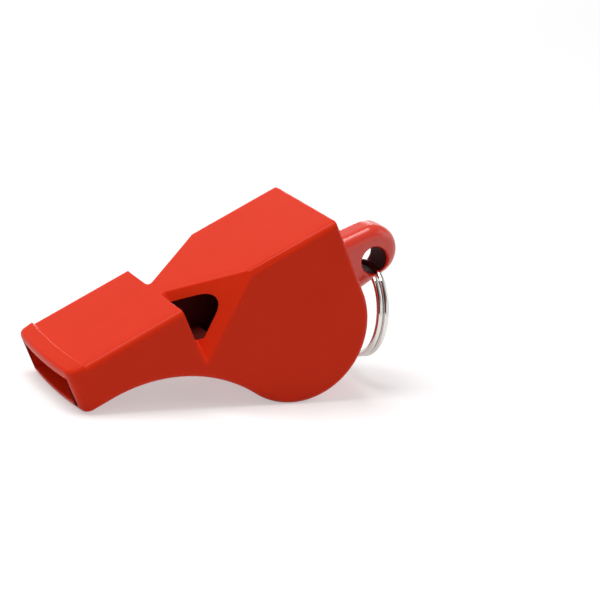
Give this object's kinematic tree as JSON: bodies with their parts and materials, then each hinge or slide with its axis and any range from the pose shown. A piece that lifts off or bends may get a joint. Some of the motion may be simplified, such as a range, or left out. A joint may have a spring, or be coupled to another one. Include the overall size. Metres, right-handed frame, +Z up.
{
  "type": "sports whistle",
  "caption": "Pealess sports whistle with a slotted mouthpiece, corner-cut side windows, a round belly and a split ring hanging from a lug at its back.",
  "frame": {"origin": "middle of the box around the whole part, at the level of the surface that it stands on", "axes": "+X from the mouthpiece to the ring, +Z up as it stands on its round belly and on the lower edge of the mouthpiece, +Y across to the side face that the picture doesn't show"},
  "size_m": [0.0535, 0.02, 0.0267],
  "materials": {
    "shell": "ABS, moulded against a satin tool",
    "insert": "ABS, moulded against a polished tool",
    "ring": "spring steel wire, bright nickel plated"
  },
  "bodies": {
    "whistle": {"outer_shell": "shell", "chamber_insert": "insert"},
    "ring": {"split_ring": "ring"}
  },
  "joints": [
    {"name": "ring_swing", "type": "hinge", "parent": "whistle", "child": "ring", "pos_m": [0.02281, 0, 0.01861], "axis": [0, 1, 0], "range_deg": [-227, 15]}
  ]
}
